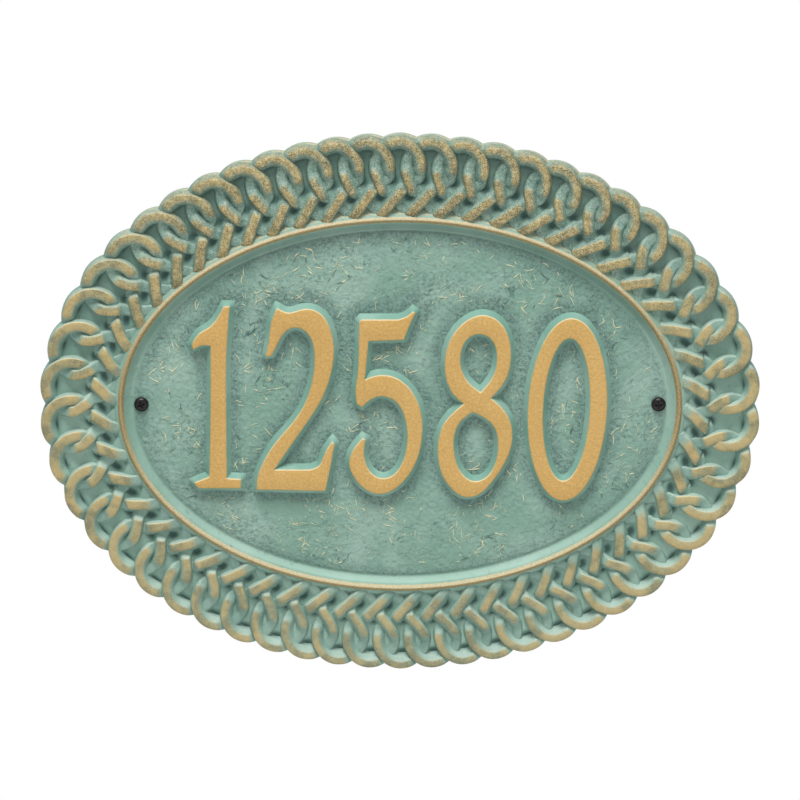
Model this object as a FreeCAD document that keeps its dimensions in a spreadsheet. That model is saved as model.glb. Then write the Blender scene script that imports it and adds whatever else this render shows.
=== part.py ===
# Oval house number plaque: one painted casting with a border of interlaced loops round a raised
# number, and the two screws that hold it on a wall.
#
# The casting is drawn lying on its back, X across and Y up the plaque, Z from the wall to the
# viewer, and is then stood upright: the back is the plane y = 0 and the front looks along -Y.
import FreeCAD, Part
import bisect
import math
import os

Vector = FreeCAD.Vector

os.makedirs("parts", exist_ok=True)
doc = FreeCAD.newDocument("number_plaque")

# Driving sizes in millimetres, angles in degrees
sheet = doc.addObject("Spreadsheet::Sheet", "sizes")
SIZES = [
    # rim: the gold bead round the panel, an ellipse
    ("rim_half_width", 152.3),
    ("rim_half_height", 102.9),
    ("bead_width", 1.8),
    ("bead_drop", 2.0),
    ("ledge_width", 3.0),
    ("ledge_draft", 0.7),
    ("cove_width", 5.2),
    # castings' heights over the wall
    ("panel_thickness", 4.2),
    ("relief_height", 5.2),
    ("weld_depth", 0.7),
    # border: from the bead out to the tips of the scallops
    ("border_side", 44.6),
    ("border_top", 46.5),
    ("scallop_side", 3.2),
    ("scallop_top", 2.2),
    ("loop_count", 54),
    # one loop of the strap, a ring that ends in two crossed tails
    ("loop_radius", 13.4),
    ("strap_width", 6.4),
    ("strap_crown", 3.4),
    ("tail_slope", 50.0),
    ("bar_shift", 4.4),
    ("under_height", 2.2),
    ("dive_length", 7.0),
    ("strap_margin", 0.8),
    # number
    ("digit_height", 101.6),
    ("digit_rise", 5.0),
    ("digit_draft", 2.5),
    ("digit_gap", 8.6),
    ("row_drop_angle", 2.1),
    ("row_height", 1.2),
    # screws
    ("screw_spacing", 282.4),
    ("hole_diameter", 5.0),
    ("neck_diameter", 3.6),
    ("neck_length", 0.6),
    ("shank_diameter", 4.2),
    ("shank_length", 21.0),
    ("point_length", 6.0),
    ("head_diameter", 8.0),
    ("head_height", 2.6),
    ("head_rim", 0.9),
]
for row, (alias, value) in enumerate(SIZES, start=1):
    sheet.set("A%d" % row, alias)
    sheet.set("B%d" % row, str(value))
    sheet.setAlias("B%d" % row, alias)
doc.recompute()


def size(alias):
    return float(getattr(sheet, alias))


def make(kind, name, **bound):
    """Adds an object whose properties follow the sheet."""
    thing = doc.addObject(kind, name)
    for prop, expression in bound.items():
        thing.setExpression(prop.replace("__", "."), expression)
    return thing


def keep_shape(name, shape):
    thing = doc.addObject("Part::Feature", name)
    thing.Shape = shape
    return thing


# The rim's ellipse, walked by its length, so that the loops are evenly spaced along it
STEPS = 3600
half_width = size("rim_half_width")
half_height = size("rim_half_height")
turns = [2 * math.pi * step / STEPS for step in range(STEPS + 1)]
lengths = [0.0]
for before, after in zip(turns, turns[1:]):
    lengths.append(lengths[-1] + math.hypot(half_width * (math.cos(after) - math.cos(before)),
                                            half_height * (math.sin(after) - math.sin(before))))


def on_rim(share):
    """Turn, point and outward normal of the rim's ellipse at a share of its length."""
    walked = (share % 1.0) * lengths[-1]
    step = min(bisect.bisect_right(lengths, walked) - 1, STEPS - 1)
    part = (walked - lengths[step]) / (lengths[step + 1] - lengths[step])
    turn = turns[step] + part * (turns[step + 1] - turns[step])
    point = Vector(half_width * math.cos(turn), half_height * math.sin(turn), 0)
    normal = Vector(math.cos(turn) / half_width, math.sin(turn) / half_height, 0)
    return turn, point, normal.normalize()


def blend(turn, at_side, at_top):
    """A size that changes smoothly from the plaque's two ends to its top and bottom."""
    return math.hypot(at_side * math.cos(turn), at_top * math.sin(turn))


# Back slab with a scalloped edge: one arc for each loop
loop_count = int(size("loop_count"))


def scallop_point(share, inward):
    turn, point, normal = on_rim(share)
    reach = blend(turn, size("border_side"), size("border_top"))
    depth = blend(turn, size("scallop_side"), size("scallop_top")) if inward else 0.0
    return point + normal * (reach - depth)


scallops = []
for index in range(loop_count):
    start = scallop_point(index / loop_count, True)
    peak = scallop_point((index + 0.5) / loop_count, False)
    end = scallop_point((index + 1) / loop_count, True)
    scallops.append(Part.Arc(start, peak, end).toShape())
outline = keep_shape("scalloped_outline", Part.Face(Part.Wire(scallops)))
slab = make("Part::Extrusion", "back_slab", LengthFwd="sizes.panel_thickness")
slab.Base = outline
slab.DirMode = "Custom"
slab.Dir = Vector(0, 0, 1)
slab.Solid = True


# Rim: a ledge that the border's tails run into, the bead, and a cove down to the panel
def rim_ellipse(name, grow, height):
    return make("Part::Ellipse", name, MajorRadius="sizes.rim_half_width + " + grow,
                MinorRadius="sizes.rim_half_height + " + grow, Placement__Base__z=height)


def rim_loft(name, rings):
    loft = doc.addObject("Part::Loft", name)
    loft.Sections = [rim_ellipse("%s_ring_%d" % (name, number), grow, height)
                     for number, (grow, height) in enumerate(rings)]
    loft.Solid = True
    loft.Ruled = True
    return loft


CREST = "sizes.panel_thickness + sizes.relief_height"
LEDGE = CREST + " - sizes.bead_drop"
FLOOR = "sizes.panel_thickness - sizes.weld_depth"
rim_outside = rim_loft("rim_outside", [
    ("sizes.ledge_width + sizes.ledge_draft", FLOOR),
    ("sizes.ledge_width", LEDGE),
    ("sizes.bead_width * 0.7", LEDGE + " + 0.15 * sizes.bead_drop"),
    ("sizes.bead_width * 0.4", CREST)])
COVE_FOOT = "(-sizes.cove_width - sizes.bead_width * 0.4 - %s)"
COVE_RUN = "sizes.cove_width * sizes.weld_depth / sizes.relief_height"
rim_inside = rim_loft("rim_inside", [
    (COVE_FOOT % COVE_RUN, FLOOR),
    ("(-sizes.bead_width * 0.4)", CREST),
    ("(-sizes.bead_width * 0.4)", CREST + " + sizes.relief_height")])
rim = doc.addObject("Part::Cut", "rim")
rim.Base = rim_outside
rim.Tool = rim_inside

# Interlaced border. The strap of each loop comes up from the rim as a straight tail, rounds a ring
# and goes back to the rim as a second tail that crosses the first. It dives under its neighbours
# where they cross, so the ring and its tails are ridges whose tops follow a rising and falling
# line. In a loop's own frame the ring's centre is the origin and +Y points away from the panel.
RING_FLATS_OVER = 5
RING_FLATS_UNDER = 3
FAR = 80.0
radius = size("loop_radius")
slope = math.radians(size("tail_slope"))
ground = size("panel_thickness")
crest = ground + size("relief_height")
low = ground + size("under_height")
dive = size("dive_length")
up_tail = Vector(math.cos(slope), math.sin(slope), 0)
down_tail = Vector(math.cos(slope), -math.sin(slope), 0)
waist_angle = -20.0
mid_angle = 134.0
left_angle = 270 - math.degrees(slope)


def ring_points(start, end, flats):
    """Corners of a stretch of the ring, with the middle corners a little outside it."""
    spread = 1 / math.cos(math.radians((end - start) / flats / 2)) ** 0.5
    corners = []
    for number in range(flats + 1):
        angle = math.radians(start + (end - start) * number / flats)
        reach = radius * (spread if 0 < number < flats else 1.0)
        corners.append(Vector(reach * math.cos(angle), reach * math.sin(angle), 0))
    return corners


def ridge(path):
    """Strap with sloped sides and a flat crown along a line of points, mitred at the corners."""
    lean = (size("strap_width") - size("strap_crown")) / 2 / (crest - ground)
    foot = size("weld_depth")
    foot_half = size("strap_width") / 2 + lean * foot
    crown_half = size("strap_crown") / 2
    ways = [(after - before).normalize() for before, after in zip(path, path[1:])]
    mitres = []
    for way_in, way_out in zip([ways[0]] + ways, ways + [ways[-1]]):
        both = Vector(-way_in.y - way_out.y, way_in.x + way_out.x, 0)
        mitres.append(both * (2 / both.Length ** 2))

    def rail(side, height):
        return [point + mitre * side + Vector(0, 0, height) for point, mitre in zip(path, mitres)]

    foot_left, foot_right = rail(foot_half, ground - foot), rail(-foot_half, ground - foot)
    crown_left, crown_right = rail(crown_half, crest), rail(-crown_half, crest)
    sides = [crown_left + crown_right[::-1], foot_left + foot_right[::-1]]
    for low_rail, high_rail in ((foot_left, crown_left), (foot_right, crown_right)):
        for number in range(len(path) - 1):
            sides.append([low_rail[number], low_rail[number + 1],
                          high_rail[number + 1], high_rail[number]])
    for end in (0, -1):
        sides.append([foot_left[end], crown_left[end], crown_right[end], foot_right[end]])
    faces = [Part.Face(Part.makePolygon(side + side[:1])) for side in sides]
    solid = Part.Solid(Part.Shell(faces))
    if solid.Volume < 0:
        solid.reverse()
    return solid


def under_line(origin, way, line):
    """Everything below a line of (distance along way, height) points, however far across."""
    across = Vector(-way.y, way.x, 0)
    points = [(line[0][0], 0.0)] + line + [(line[-1][0], 0.0)]
    corners = [origin + way * along - across * FAR + Vector(0, 0, height)
               for along, height in points]
    return Part.Face(Part.makePolygon(corners + corners[:1])).extrude(across * FAR * 2)


clear_of_crest = crest + size("relief_height") / 8
reach_to_rim = size("border_top") * 1.1 / math.sin(slope)
pitch = lengths[-1] / loop_count
over_ring = ring_points(waist_angle, mid_angle, RING_FLATS_OVER)
# the first tail runs inside the line that would touch the ring, and turns out to it at the waist
inward = Vector(-math.sin(slope), math.cos(slope), 0)
bar_end = inward * (size("bar_shift") - radius) - up_tail * radius / 2
waist = (bar_end + over_ring[0]) / 2
over_path = [bar_end - up_tail * reach_to_rim, bar_end] + over_ring
over_strap = ridge(over_path).common(under_line(waist, up_tail, [
    (-FAR, clear_of_crest), (-dive, clear_of_crest), (0, low), (dive, clear_of_crest),
    (FAR, clear_of_crest)]))
# the second tail ends under the first tail of the next loop
under_ring = ring_points(mid_angle, left_angle, RING_FLATS_UNDER)
own_crossing = radius * math.tan(slope) - size("bar_shift") / math.sin(2 * slope)
next_crossing = own_crossing + pitch / 2 / math.cos(slope)
under_path = under_ring + [under_ring[-1] + down_tail * next_crossing]
under_strap = ridge(under_path)
under_strap = under_strap.common(under_line(Vector(), up_tail * -1, [
    (-0.1 * radius, low), (0, low), (dive * 1.2, clear_of_crest), (FAR, clear_of_crest)]))
under_strap = under_strap.common(under_line(under_ring[-1], down_tail, [
    (-FAR, clear_of_crest), (own_crossing - 1.4 * dive, clear_of_crest),
    (own_crossing - 0.6 * dive, low), (FAR, low)]))

tail_end = size("ledge_width") * 0.6
inside_rim = Part.Face(Part.Wire(Part.Ellipse(Vector(), half_width + tail_end,
                                              half_height + tail_end).toShape()))
inside_rim = inside_rim.extrude(Vector(0, 0, crest * 2))
straps = []
for index in range(loop_count):
    turn, point, normal = on_rim((index + 0.5) / loop_count)
    border = blend(turn, size("border_side"), size("border_top"))
    centre = point + normal * (border - size("strap_margin") - size("strap_width") / 2 - radius)
    heading = math.degrees(math.atan2(normal.y, normal.x)) - 90
    seat = FreeCAD.Placement(centre, FreeCAD.Rotation(Vector(0, 0, 1), heading))
    for strap, meets_rim in ((over_strap, True), (under_strap, False)):
        placed = strap.copy()
        placed.Placement = seat
        placed = placed.cut(inside_rim) if meets_rim else placed
        straps.append(keep_shape("strap_%d" % len(straps), placed))


# Number. Each digit is one or more closed outlines of its flat face, in millimetres from its lower
# left corner at a height of 101.6: two points are a straight side, more are a smooth curve
DRAWN_HEIGHT = 101.6


def leaning_oval(centre_x, centre_y, half_x, half_y, lean):
    points = []
    for number in range(17):
        angle = 2 * math.pi * number / 16
        x, y = half_x * math.cos(angle), half_y * math.sin(angle)
        turn = math.radians(lean)
        points.append((centre_x + x * math.cos(turn) - y * math.sin(turn),
                       centre_y + x * math.sin(turn) + y * math.cos(turn)))
    return [points]


ONE = [
    [(17.4, 101.2), (20.2, 101.2)],
    [(20.2, 101.2), (18.3, 77.0), (17.8, 50.0), (17.8, 5.2)],
    [(17.8, 5.2), (25.6, 4.8)],
    [(25.6, 4.8), (25.4, 0.0)],
    [(25.4, 0.0), (2.5, 0.0)],
    [(2.5, 0.0), (0.4, 2.8)],
    [(0.4, 2.8), (8.8, 6.2)],
    [(8.8, 6.2), (9.8, 46.0), (10.1, 79.6)],
    [(10.1, 79.6), (5.0, 79.8), (0.4, 77.4)],
    [(0.4, 77.4), (0.0, 80.4)],
    [(0.0, 80.4), (4.2, 86.4), (9.0, 89.4), (13.4, 94.0), (17.4, 101.2)],
]
TWO = [
    [(12.0, 101.6), (18.3, 99.2), (24.0, 100.6), (29.5, 101.2), (35.6, 98.4), (40.2, 91.0),
     (42.4, 79.0), (40.5, 64.4), (35.4, 50.8), (26.2, 36.2), (9.4, 11.6)],
    [(9.4, 11.6), (29.0, 11.6)],
    [(29.0, 11.6), (34.4, 13.8), (37.6, 20.6), (41.7, 27.2)],
    [(41.7, 27.2), (42.6, 25.9)],
    [(42.6, 25.9), (40.0, 11.5), (37.5, 0.0)],
    [(37.5, 0.0), (0.5, 0.8)],
    [(0.5, 0.8), (0.8, 6.5), (3.8, 15.0), (9.5, 25.0), (18.7, 36.2), (27.1, 49.0), (31.2, 61.9),
     (32.5, 74.0), (31.3, 82.8), (27.6, 89.0), (21.0, 91.4), (15.2, 88.0), (11.2, 80.8),
     (8.6, 75.8)],
    [(8.6, 75.8), (5.8, 75.0)],
    [(5.8, 75.0), (7.8, 85.0), (9.2, 95.0), (12.0, 101.6)],
]
FIVE = [
    [(6.8, 97.2), (26.4, 97.2)],
    [(26.4, 97.2), (31.0, 98.8), (34.6, 101.6)],
    [(34.6, 101.6), (35.6, 100.8)],
    [(35.6, 100.8), (32.4, 94.0), (29.5, 86.4)],
    [(29.5, 86.4), (10.2, 85.6)],
    [(10.2, 85.6), (8.0, 63.6)],
    [(8.0, 63.6), (13.5, 65.8), (19.5, 66.3), (27.9, 63.2), (34.5, 56.0), (38.7, 45.5),
     (39.4, 34.5), (37.7, 23.0), (33.7, 13.3), (27.9, 5.8), (21.5, 1.3), (15.2, 0.2), (8.7, 2.8),
     (2.6, 9.5), (0.1, 16.5), (1.6, 23.6), (7.2, 31.0)],
    [(7.2, 31.0), (8.4, 30.3)],
    [(8.4, 30.3), (7.6, 24.0), (8.6, 17.2), (11.9, 11.4), (17.2, 8.6), (22.9, 9.8), (27.9, 15.2),
     (31.0, 24.0), (31.7, 35.2), (29.7, 45.0), (25.6, 51.6), (20.4, 54.6), (15.4, 54.8),
     (10.8, 52.6), (6.8, 49.0)],
    [(6.8, 49.0), (4.4, 50.3)],
    [(4.4, 50.3), (3.6, 56.0), (4.6, 66.0), (5.4, 83.0), (5.8, 96.2)],
    [(5.8, 96.2), (6.8, 97.2)],
]
EIGHT = [
    [(14.6, 52.4), (8.8, 57.8), (5.2, 65.4), (4.2, 75.0), (7.4, 88.4), (15.6, 98.2), (24.6, 101.4),
     (33.0, 98.0), (38.2, 89.4), (39.6, 79.6), (38.2, 69.4), (34.2, 61.6), (28.6, 55.4)],
    [(28.6, 55.4), (34.0, 50.8), (38.6, 44.2), (40.6, 35.2), (39.2, 25.6), (34.8, 16.2),
     (27.8, 6.4), (21.2, 1.0), (14.4, 0.4), (7.8, 5.0), (2.8, 12.8), (0.6, 22.8), (0.9, 32.2),
     (3.8, 41.2), (9.0, 47.4), (14.6, 52.4)],
]
EIGHT_UPPER = [
    [(23.5, 58.4), (17.2, 63.4), (13.2, 70.0), (12.1, 78.4), (15.0, 87.2), (20.4, 91.1),
     (26.4, 90.4), (31.0, 85.6), (32.5, 78.0), (30.2, 67.2), (23.5, 58.4)],
]
EIGHT_LOWER = [
    [(19.2, 48.0), (12.2, 42.2), (8.9, 34.0), (9.1, 23.6), (13.2, 13.0), (20.0, 8.7), (26.6, 10.8),
     (31.8, 19.0), (33.4, 30.0), (30.9, 39.6), (25.2, 45.0), (19.2, 48.0)],
]
ZERO = leaning_oval(21.6, 50.8, 21.3, 50.8, -2.5)
ZERO_EYE = leaning_oval(21.1, 50.8, 13.0, 40.0, -2.5)
# digit name, drawn width, outline, eyes
NUMBER = [
    ("one", 25.6, ONE, []),
    ("two", 42.5, TWO, []),
    ("five", 39.4, FIVE, []),
    ("eight", 40.6, EIGHT, [EIGHT_UPPER, EIGHT_LOWER]),
    ("zero", 43.1, ZERO, [ZERO_EYE]),
]


def side_edge(points, height):
    """Edge through points, straight or smooth, at a height."""
    places = [Vector(x, y, height) for x, y in points]
    if len(places) == 2:
        return Part.makeLine(places[0], places[1])
    curve = Part.BSplineCurve()
    curve.interpolate(places)
    return curve.toShape()


def side_ways(points):
    """Direction of travel at each point of one side."""
    if len(points) == 2:
        way = Vector(points[1][0] - points[0][0], points[1][1] - points[0][1], 0)
        return [way.normalize()] * 2
    edge = side_edge(points, 0.0)
    return [edge.Curve.tangent(edge.Curve.parameter(Vector(x, y, 0)))[0] for x, y in points]


def grown(sides, distance):
    """The outline moved out by a distance on its right-hand side, corner by corner."""
    ways = [side_ways(side) for side in sides]
    if len(sides) == 1:
        # a single closed side that is smooth where it meets itself
        joined = (ways[0][0] + ways[0][-1]).normalize()
        if ways[0][0].dot(ways[0][-1]) > 0.7:
            ways[0][0] = ways[0][-1] = joined
    moved = []
    for number, side in enumerate(sides):
        spots = []
        for place, (x, y) in enumerate(side):
            way_in = way_out = ways[number][place]
            if place == 0:
                way_in = ways[number - 1][-1]
            if place == len(side) - 1:
                way_out = ways[(number + 1) % len(sides)][0]
            out = Vector(way_in.y + way_out.y, -way_in.x - way_out.x, 0)
            out = out * (2 * distance / max(out.Length ** 2, 1.6))
            spots.append((x + out.x, y + out.y))
        moved.append(spots)
    return moved


def signed_area(sides):
    points = [point for side in sides for point in side[:-1]]
    return sum(p[0] * q[1] - q[0] * p[1] for p, q in zip(points, points[1:] + points[:1])) / 2


def drafted(name, sides, shift, foot, top, inward):
    """Loft between an outline at the top and the same outline moved out (or in) at the foot."""
    scale = size("digit_height") / DRAWN_HEIGHT
    sides = [[(x * scale + shift[0], y * scale + shift[1]) for x, y in side] for side in sides]
    clockwise = signed_area(sides) < 0
    spread = size("digit_draft") * (top - foot) / size("digit_rise")
    distance = -spread if inward != clockwise else spread
    foot_wire = Part.Wire([side_edge(side, foot) for side in grown(sides, distance)])
    top_wire = Part.Wire([side_edge(side, top) for side in sides])
    loft = doc.addObject("Part::Loft", name)
    loft.Sections = [keep_shape(name + "_foot", foot_wire), keep_shape(name + "_face", top_wire)]
    loft.Solid = True
    loft.Ruled = True
    return loft


row_width = sum(width for _, width, _, _ in NUMBER) * size("digit_height") / DRAWN_HEIGHT
row_width += size("digit_gap") * (len(NUMBER) - 1)
cursor = -row_width / 2
digit_foot = ground - size("weld_depth")
digit_face = ground + size("digit_rise")
digits = []
for name, width, outline_sides, eyes in NUMBER:
    width *= size("digit_height") / DRAWN_HEIGHT
    drop = (cursor + width / 2) * math.tan(math.radians(size("row_drop_angle")))
    corner = (cursor, size("row_height") - drop - size("digit_height") / 2)
    body = drafted("digit_" + name, outline_sides, corner, digit_foot, digit_face, False)
    for number, eye in enumerate(eyes):
        tool = drafted("eye_%s_%d" % (name, number), eye, corner, digit_foot, digit_face, True)
        pierced = doc.addObject("Part::Cut", "digit_%s_pierced_%d" % (name, number))
        pierced.Base = body
        pierced.Tool = tool
        body = pierced
    digits.append(body)
    cursor += width + size("digit_gap")

# The casting: everything above fused, then drilled for the screws and stood upright
casting = doc.addObject("Part::MultiFuse", "casting")
casting.Shapes = [slab, rim] + straps + digits
holes = []
for name, sign in (("left_hole", "-"), ("right_hole", "")):
    holes.append(make("Part::Cylinder", name, Radius="sizes.hole_diameter / 2",
                      Height="sizes.panel_thickness * 3",
                      Placement__Base__x=sign + "sizes.screw_spacing / 2",
                      Placement__Base__z="-sizes.panel_thickness"))
drill = doc.addObject("Part::MultiFuse", "drill")
drill.Shapes = holes
plaque = doc.addObject("Part::Cut", "plaque")
plaque.Base = casting
plaque.Tool = drill
upright = FreeCAD.Rotation(Vector(1, 0, 0), 90)
plaque.Placement = FreeCAD.Placement(Vector(), upright)

# Screw: a pan head seated on the panel, a plain neck in the plaque's hole, and
# a pointed shank, as wide as its thread, in the wall
neck = make("Part::Cylinder", "neck", Radius="sizes.neck_diameter / 2",
            Height="sizes.neck_length + sizes.panel_thickness",
            Placement__Base__z="-sizes.neck_length")
shank = make("Part::Cylinder", "shank", Radius="sizes.shank_diameter / 2",
             Height="sizes.shank_length - sizes.neck_length - sizes.point_length",
             Placement__Base__z="sizes.point_length - sizes.shank_length")
screw_point = make("Part::Cone", "screw_point", Radius1="sizes.shank_diameter / 12",
                   Radius2="sizes.shank_diameter / 2", Height="sizes.point_length",
                   Placement__Base__z="-sizes.shank_length")
head_rim = make("Part::Cylinder", "head_rim", Radius="sizes.head_diameter / 2",
                Height="sizes.head_rim", Placement__Base__z="sizes.panel_thickness")
head_dome = make("Part::Cone", "head_dome", Radius1="sizes.head_diameter / 2",
                 Radius2="sizes.head_diameter / 3", Height="sizes.head_height - sizes.head_rim",
                 Placement__Base__z="sizes.panel_thickness + sizes.head_rim")
screw = make("Part::MultiFuse", "screw", Placement__Base__x="sizes.screw_spacing / 2")
screw.Shapes = [screw_point, shank, neck, head_rim, head_dome]
other_screw = doc.addObject("Part::Mirroring", "other_screw")
other_screw.Source = screw
other_screw.Base = Vector()
other_screw.Normal = Vector(1, 0, 0)
mounting_screws = doc.addObject("Part::Compound", "mounting_screws")
mounting_screws.Links = [screw, other_screw]
mounting_screws.Placement = FreeCAD.Placement(Vector(), upright)

doc.recompute()
for thing in doc.Objects:
    if "Invalid" in thing.State or "Error" in thing.State:
        raise RuntimeError("%s did not build: %s" % (thing.Name, thing.State))

for piece, solid_count in ((plaque, 1), (mounting_screws, 2)):
    shape = piece.Shape
    if shape.isNull() or not shape.isValid() or len(shape.Solids) != solid_count:
        raise RuntimeError("%s is not %d sound solids" % (piece.Label, solid_count))
    shape.exportStep("parts/%s.step" % piece.Label)
    box = shape.BoundBox
    print("%s: %.0f mm3, %.1f x %.1f x %.1f mm" % (piece.Label, shape.Volume, box.XLength,
                                                    box.YLength, box.ZLength))
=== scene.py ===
import math

import bmesh
import bpy
import numpy as np
from mathutils import Matrix, Vector, noise
from mathutils.kdtree import KDTree


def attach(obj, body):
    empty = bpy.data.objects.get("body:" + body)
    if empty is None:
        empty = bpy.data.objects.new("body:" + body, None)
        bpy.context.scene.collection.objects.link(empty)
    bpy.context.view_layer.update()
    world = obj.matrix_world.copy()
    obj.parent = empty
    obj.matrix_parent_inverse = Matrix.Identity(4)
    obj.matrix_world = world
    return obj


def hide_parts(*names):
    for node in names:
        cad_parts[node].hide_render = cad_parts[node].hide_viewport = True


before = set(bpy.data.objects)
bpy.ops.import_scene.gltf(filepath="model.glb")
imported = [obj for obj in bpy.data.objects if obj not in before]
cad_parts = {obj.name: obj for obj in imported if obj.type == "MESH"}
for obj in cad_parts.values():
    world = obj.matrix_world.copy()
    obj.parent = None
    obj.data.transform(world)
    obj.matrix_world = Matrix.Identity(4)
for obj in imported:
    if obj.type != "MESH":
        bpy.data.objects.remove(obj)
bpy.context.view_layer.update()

# Plaque body: one aluminium casting, flat behind, with a scalloped edge, a ledge and a raised
# bead round a sunken oval panel. The panel is hand-tooled stucco under verdigris paint, with
# thin pale flecks, and the bead is rubbed with gold.
MM = 0.001
RIM_HALF_WIDTH, RIM_HALF_HEIGHT = 152.3, 102.9
LOOPS = 54
BORDER_SIDE, BORDER_TOP = 44.6, 46.5
SCALLOP_SIDE, SCALLOP_TOP = 3.2, 2.2
GROUND, CREST = 4.2, 9.4
HOLE_X, HOLE_RADIUS = 141.2, 2.5
SAMPLES = LOOPS * 14

steps = np.linspace(0, 2 * math.pi, 7201)
lengths = np.concatenate([[0.0], np.cumsum(np.hypot(np.diff(RIM_HALF_WIDTH * np.cos(steps)),
                                                    np.diff(RIM_HALF_HEIGHT * np.sin(steps))))])


def on_rim(share):
    """Turn, point and outward normal on the rim's oval at a share of its length."""
    turn = np.interp(np.mod(share, 1.0) * lengths[-1], lengths, steps)
    point = np.array([RIM_HALF_WIDTH * np.cos(turn), RIM_HALF_HEIGHT * np.sin(turn)])
    normal = np.array([np.cos(turn) / RIM_HALF_WIDTH, np.sin(turn) / RIM_HALF_HEIGHT])
    return turn, point, normal / np.hypot(normal[0], normal[1])


def between(turn, at_side, at_top):
    """A size that is at_side at the plaque's ends and at_top at its top and foot."""
    return np.hypot(at_side * np.cos(turn), at_top * np.sin(turn))


def add_object(name, mesh):
    thing = bpy.data.objects.new(name, mesh)
    bpy.context.scene.collection.objects.link(thing)
    return thing


def add_mesh(name, points, faces, **painted):
    """Smooth mesh object from points (across, up, height over the wall) in millimetres, with
    painted values, one for each point."""
    points = np.asarray(points, dtype=float)
    placed = np.column_stack([points[:, 0], -points[:, 2], points[:, 1]]) * MM
    mesh = bpy.data.meshes.new(name)
    mesh.from_pydata(placed.tolist(), [], [tuple(int(i) for i in face) for face in faces])
    for label, values in painted.items():
        layer = mesh.attributes.new(label, "FLOAT", "POINT")
        layer.data.foreach_set("value", np.asarray(values, dtype=np.float32))
    mesh.polygons.foreach_set("use_smooth", [True] * len(mesh.polygons))
    return add_object(name, mesh)


def add_shape(name, shape):
    """Mesh object from a finished bmesh."""
    mesh = bpy.data.meshes.new(name)
    shape.to_mesh(mesh)
    shape.free()
    return add_object(name, mesh)


def cut_away(piece, cutter):
    """Take the cutter's shape out of a piece, and remove the cutter."""
    cut = piece.modifiers.new("cut", "BOOLEAN")
    cut.operation = "DIFFERENCE"
    cut.solver = "EXACT"
    cut.object = cutter
    after = bpy.data.meshes.new_from_object(
        piece.evaluated_get(bpy.context.evaluated_depsgraph_get()))
    piece.modifiers.clear()
    piece.data = after
    bpy.data.objects.remove(cutter)


def joined_rings(count, size, closed=True):
    """Quads between rings of points that follow each other in one list."""
    across = np.arange(size if closed else size - 1)
    after = (across + 1) % size
    faces = []
    for ring in range(count - 1):
        low, high = ring * size, (ring + 1) * size
        faces.append(np.column_stack([low + across, low + after, high + after, high + across]))
    return np.concatenate(faces).tolist()


class Nodes:
    """A short way to write a material's node tree."""

    def __init__(self, name):
        self.material = bpy.data.materials.new(name)
        self.material.use_nodes = True
        self.tree = self.material.node_tree
        self.shader = self.tree.nodes["Principled BSDF"]
        self.place = self.add("ShaderNodeTexCoord").outputs["Object"]

    def add(self, kind, **settings):
        node = self.tree.nodes.new(kind)
        for key, value in settings.items():
            setattr(node, key, value)
        return node

    def put(self, socket, value):
        if isinstance(value, bpy.types.NodeSocket):
            self.tree.links.new(value, socket)
        else:
            socket.default_value = value

    def math(self, operation, first, second=0.0, third=0.0):
        node = self.add("ShaderNodeMath", operation=operation)
        for socket, value in zip(node.inputs, (first, second, third)):
            self.put(socket, value)
        return node.outputs[0]

    def times(self, first, second):
        return self.math("MULTIPLY", first, second)

    def centred(self, value):
        return self.math("SUBTRACT", value, 0.5)

    def noise(self, scale, detail=3.0, rough=0.5, distortion=0.0, place=None):
        node = self.add("ShaderNodeTexNoise")
        self.put(node.inputs["Vector"], place or self.place)
        for key, value in (("Scale", scale), ("Detail", detail), ("Roughness", rough),
                           ("Distortion", distortion)):
            node.inputs[key].default_value = value
        return node.outputs["Fac"]

    def cells(self, scale):
        node = self.add("ShaderNodeTexVoronoi", feature="SMOOTH_F1")
        self.put(node.inputs["Vector"], self.place)
        node.inputs["Scale"].default_value = scale
        return node.outputs["Distance"]

    def stretched(self, sizes):
        node = self.add("ShaderNodeMapping")
        self.put(node.inputs["Vector"], self.place)
        node.inputs["Scale"].default_value = sizes
        return node.outputs[0]

    def ramp(self, value, low, high, to_low=0.0, to_high=1.0):
        node = self.add("ShaderNodeMapRange", interpolation_type="SMOOTHSTEP")
        self.put(node.inputs["Value"], value)
        for key, number in (("From Min", low), ("From Max", high), ("To Min", to_low),
                            ("To Max", to_high)):
            node.inputs[key].default_value = number
        return node.outputs["Result"]

    def mix(self, share, first, second):
        node = self.add("ShaderNodeMix", data_type="RGBA")
        self.put(node.inputs[0], share)
        for socket, value in ((node.inputs[6], first), (node.inputs[7], second)):
            self.put(socket, (*value, 1.0) if isinstance(value, tuple) else value)
        return node.outputs[2]

    def painted(self, label):
        return self.add("ShaderNodeAttribute", attribute_name=label).outputs["Fac"]

    def height(self):
        """Height over the wall in millimetres."""
        split = self.add("ShaderNodeSeparateXYZ")
        self.put(split.inputs[0], self.place)
        return self.math("MULTIPLY", split.outputs["Y"], -1 / MM)

    def facing_up(self):
        """How far the surface looks up: 1 straight up, -1 straight down."""
        split = self.add("ShaderNodeSeparateXYZ")
        self.put(split.inputs[0], self.add("ShaderNodeNewGeometry").outputs["Normal"])
        return split.outputs["Z"]

    def bump(self, value, distance, strength=1.0, under=None):
        node = self.add("ShaderNodeBump")
        self.put(node.inputs["Height"], value)
        node.inputs["Distance"].default_value = distance
        node.inputs["Strength"].default_value = strength
        if under is not None:
            self.put(node.inputs["Normal"], under)
        return node.outputs["Normal"]


def ease(value):
    value = np.clip(value, 0.0, 1.0)
    return value * value * (3 - 2 * value)


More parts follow.
